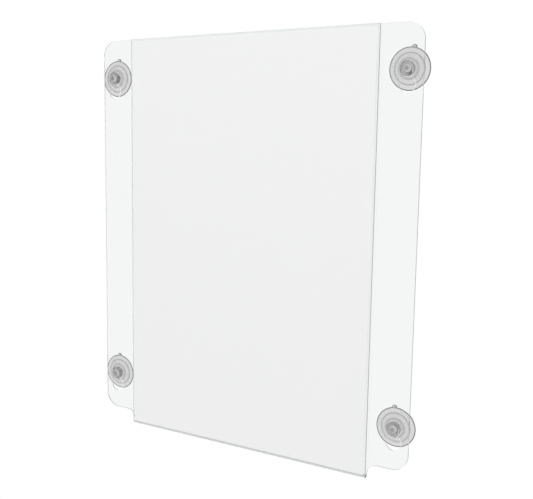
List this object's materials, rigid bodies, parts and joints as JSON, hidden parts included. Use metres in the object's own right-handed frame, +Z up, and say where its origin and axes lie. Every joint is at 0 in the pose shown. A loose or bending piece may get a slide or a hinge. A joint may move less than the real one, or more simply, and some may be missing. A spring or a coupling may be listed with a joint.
{
  "type": "window poster holder",
  "caption": "Clear folded acrylic poster pocket with rounded side flanges that hangs by keyholes on clear suction cups with pull tabs.",
  "frame": {"origin": "on the window glass, midway between the four suction cups", "axes": "+Z up, +X to the viewer's right, +Y from the viewer into the glass; the sheet and pocket are on the -Y side"},
  "size_m": [0.407, 0.0105, 0.4614],
  "materials": {
    "clear_acrylic": "clear polished acrylic sheet with flame-polished edges",
    "poster_card": "plain matt card",
    "clear_pvc": "soft clear moulded PVC"
  },
  "bodies": {
    "holder": {"back_panel": "clear_acrylic", "bottom_fold": "clear_acrylic", "front_pane": "clear_acrylic"},
    "poster": {"insert_sheet": "poster_card"},
    "cup_upper_left": {"cup_upper_left": "clear_pvc"},
    "cup_upper_right": {"cup_upper_right": "clear_pvc"},
    "cup_lower_left": {"cup_lower_left": "clear_pvc"},
    "cup_lower_right": {"cup_lower_right": "clear_pvc"}
  },
  "joints": [
    {"name": "poster_lift", "type": "slide", "parent": "holder", "child": "poster", "axis": [0, 0, 1], "range_m": [0, 0.465]},
    {"name": "cup_slide_upper_left", "type": "slide", "parent": "holder", "child": "cup_upper_left", "axis": [0, 0, -1], "range_m": [0, 0.015]},
    {"name": "cup_slide_upper_right", "type": "slide", "parent": "holder", "child": "cup_upper_right", "axis": [0, 0, -1], "range_m": [0, 0.015]},
    {"name": "cup_slide_lower_left", "type": "slide", "parent": "holder", "child": "cup_lower_left", "axis": [0, 0, -1], "range_m": [0, 0.015]},
    {"name": "cup_slide_lower_right", "type": "slide", "parent": "holder", "child": "cup_lower_right", "axis": [0, 0, -1], "range_m": [0, 0.015]}
  ]
}
